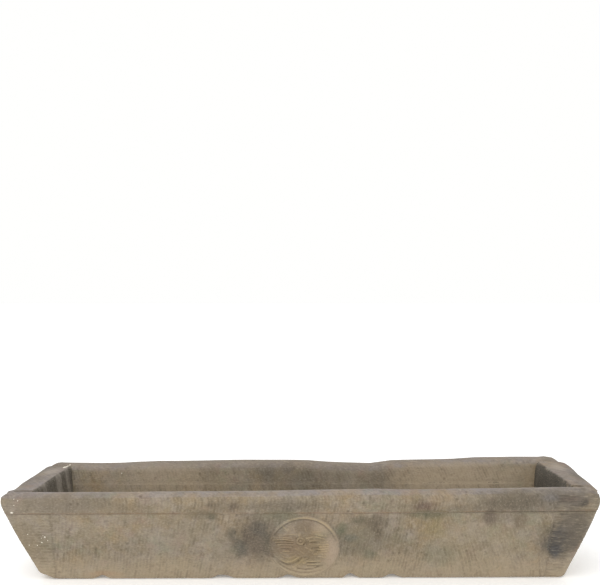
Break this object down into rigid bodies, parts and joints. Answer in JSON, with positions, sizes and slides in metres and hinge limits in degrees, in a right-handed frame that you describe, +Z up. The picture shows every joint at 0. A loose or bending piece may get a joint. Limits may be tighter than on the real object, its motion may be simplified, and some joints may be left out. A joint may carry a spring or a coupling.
{
  "type": "stone trough planter",
  "caption": "Long low stone trough with leaning walls, a worn rolled rim, a carved round medallion on the front, incised margins and drain holes in its floor.",
  "frame": {"origin": "on the ground under the middle of the trough", "axes": "+X along the trough, the carved front faces -Y, +Z up"},
  "size_m": [1.4992, 0.3414, 0.247],
  "materials": {
    "wall_stone": "matt, weathered buff sandstone with tooled strokes and grey lichen stains",
    "rim_stone": "matt, worn buff sandstone, greyer on top",
    "floor_stone": "matt, darkened by soil and damp",
    "carved_stone": "matt, warmer fine-grained sandstone, softly worn",
    "lime_mortar": "matt lime mortar close to the stone's colour",
    "pin_iron": "dull, lightly rusted"
  },
  "bodies": {
    "root": {"floor_slab": "floor_stone", "front_wall": "wall_stone", "back_wall": "wall_stone", "left_end_wall": "wall_stone", "right_end_wall": "wall_stone", "front_coping": "rim_stone", "back_coping": "rim_stone", "left_end_coping": "rim_stone", "right_end_coping": "rim_stone", "medallion": "carved_stone", "medallion_mortar": "lime_mortar", "coping_bed_mortar": "lime_mortar", "floor_bed_mortar": "lime_mortar", "medallion_pin": "pin_iron", "coping_joint_mortar_left_front": "lime_mortar", "wall_joint_mortar_left_front": "lime_mortar", "wall_pin_left_front_1": "pin_iron", "wall_pin_left_front_2": "pin_iron", "coping_joint_mortar_left_back": "lime_mortar", "wall_joint_mortar_left_back": "lime_mortar", "wall_pin_left_back_1": "pin_iron", "wall_pin_left_back_2": "pin_iron", "coping_joint_mortar_right_front": "lime_mortar", "wall_joint_mortar_right_front": "lime_mortar", "wall_pin_right_front_1": "pin_iron", "wall_pin_right_front_2": "pin_iron", "coping_joint_mortar_right_back": "lime_mortar", "wall_joint_mortar_right_back": "lime_mortar", "wall_pin_right_back_1": "pin_iron", "wall_pin_right_back_2": "pin_iron", "coping_pin_front_1": "pin_iron", "coping_pin_front_2": "pin_iron", "coping_pin_front_3": "pin_iron", "coping_pin_front_4": "pin_iron", "coping_pin_back_1": "pin_iron", "coping_pin_back_2": "pin_iron", "coping_pin_back_3": "pin_iron", "coping_pin_back_4": "pin_iron", "coping_pin_left_1": "pin_iron", "coping_pin_right_1": "pin_iron"}
  },
  "joints": []
}
